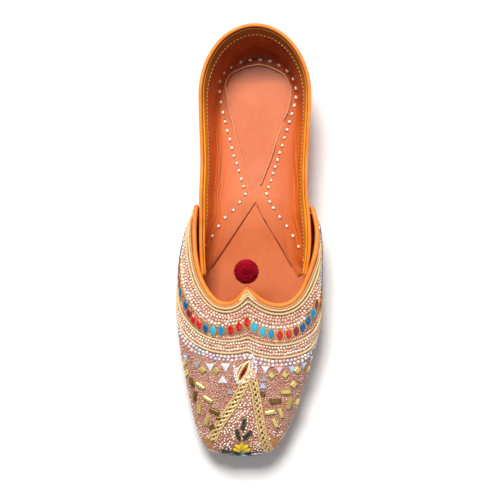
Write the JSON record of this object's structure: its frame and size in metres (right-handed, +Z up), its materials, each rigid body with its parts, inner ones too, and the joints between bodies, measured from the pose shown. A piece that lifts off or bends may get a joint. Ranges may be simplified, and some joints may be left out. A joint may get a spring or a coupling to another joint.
{
  "type": "mojari shoe",
  "caption": "Flat leather slip-on mojari with a square embroidered toe, a lobed open throat with a wool pompom at its peak, and a plain leather back.",
  "frame": {"origin": "centre of the footprint box on the floor, under the sole", "axes": "+Y towards the heel, -Y towards the toe, +X towards the outer (right) side of the left foot, +Z up"},
  "size_m": [0.0847, 0.2518, 0.0565],
  "materials": {
    "sole_leather": "tan sole leather, matte, buffed edge",
    "insole_leather": "smooth salmon leather, low sheen",
    "flap_leather": "smooth orange leather with white stitches",
    "lining_leather": "creased orange leather, semi-matte",
    "binding_leather": "rolled orange leather, low sheen",
    "facing_leather": "mustard leather tape, semi-matte",
    "rose_cloth": "dusty rose cloth covered with beadwork",
    "gold_braid": "twisted pale gold metal thread",
    "crimson_wool": "fuzzy crimson wool"
  },
  "bodies": {
    "root": {"outsole": "sole_leather", "insole": "insole_leather", "insole_flaps": "flap_leather", "quarter": "lining_leather", "quarter_rim": "binding_leather", "quarter_facing": "facing_leather", "vamp": "rose_cloth", "vamp_binding": "binding_leather", "toe_trim": "gold_braid", "pompom": "crimson_wool"}
  },
  "joints": []
}
